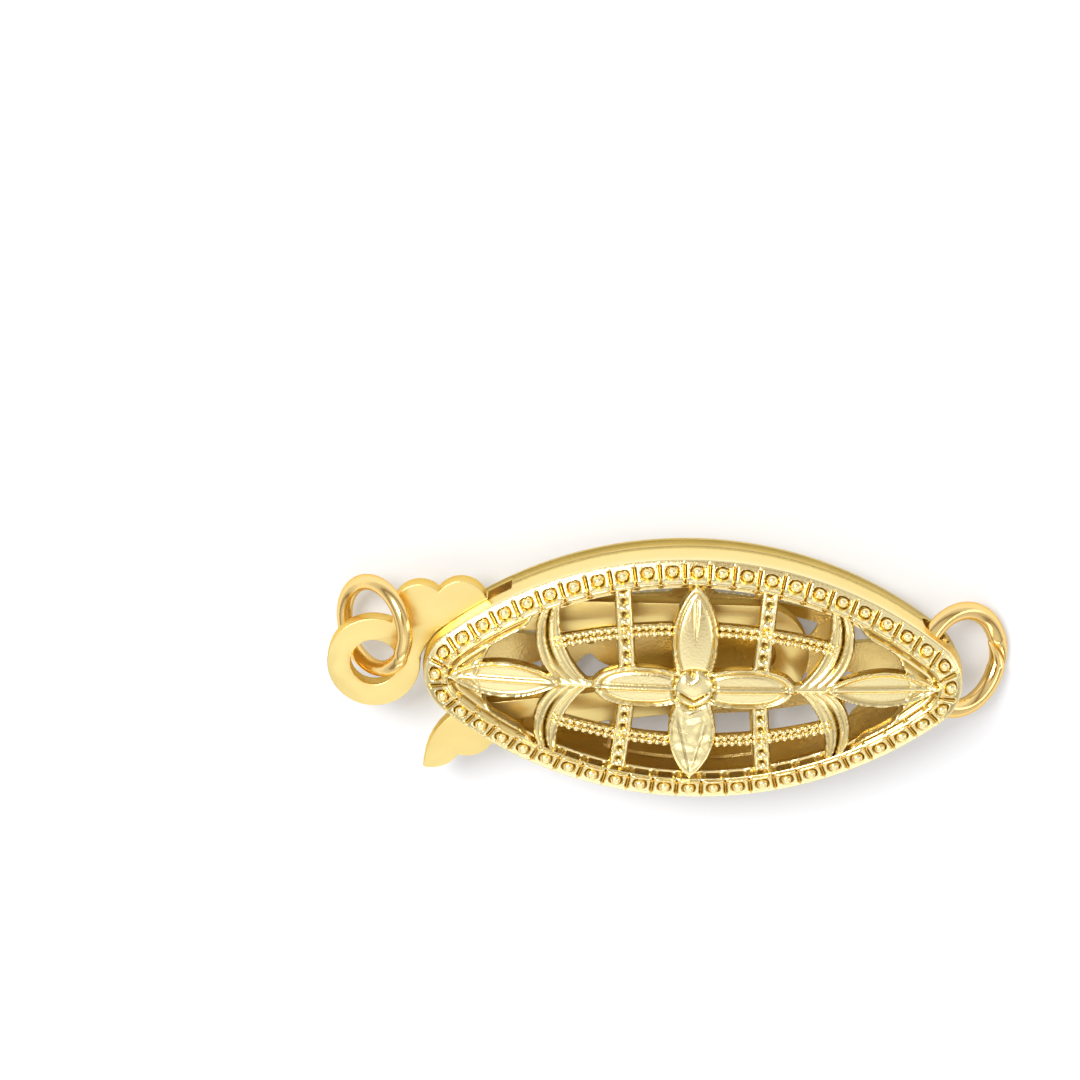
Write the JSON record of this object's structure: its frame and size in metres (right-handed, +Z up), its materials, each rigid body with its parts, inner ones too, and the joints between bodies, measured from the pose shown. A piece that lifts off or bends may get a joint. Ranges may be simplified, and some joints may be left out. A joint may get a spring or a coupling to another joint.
{
  "type": "filigree slide clasp",
  "caption": "Pierced, domed oval jewellery clasp: a flat U-shaped spring hook slides into a hollow filigree shell, with a jump ring at each end.",
  "frame": {"origin": "middle of the flat on the back face's boss, which the clasp rests on", "axes": "+X along the clasp towards the shell's jump ring, +Y across it, +Z up through the shell's front face"},
  "size_m": [0.018, 0.0068, 0.0032],
  "materials": {
    "shell_gold": "cast and polished yellow gold, darker in the recesses",
    "tongue_gold": "satin yellow gold plate with polished edges",
    "ring_gold": "polished yellow gold wire"
  },
  "bodies": {
    "shell": {"shell": "shell_gold"},
    "tongue": {"tongue": "tongue_gold"},
    "shell_ring": {"shell_ring": "ring_gold"},
    "tongue_ring": {"tongue_ring": "ring_gold"}
  },
  "joints": [
    {"name": "tongue_slide", "type": "slide", "parent": "shell", "child": "tongue", "axis": [-1, 0, 0], "range_m": [0, 0.011]},
    {"name": "shell_ring_swing", "type": "hinge", "parent": "shell", "child": "shell_ring", "pos_m": [0.00644, 0.00014, 0.00154], "axis": [0.1592, -0.9872, 0], "range_deg": [-10, 85]},
    {"name": "tongue_ring_swing", "type": "hinge", "parent": "tongue", "child": "tongue_ring", "pos_m": [-0.00838, 0, 0.00154], "axis": [0, -1, 0], "range_deg": [0, 90]}
  ]
}
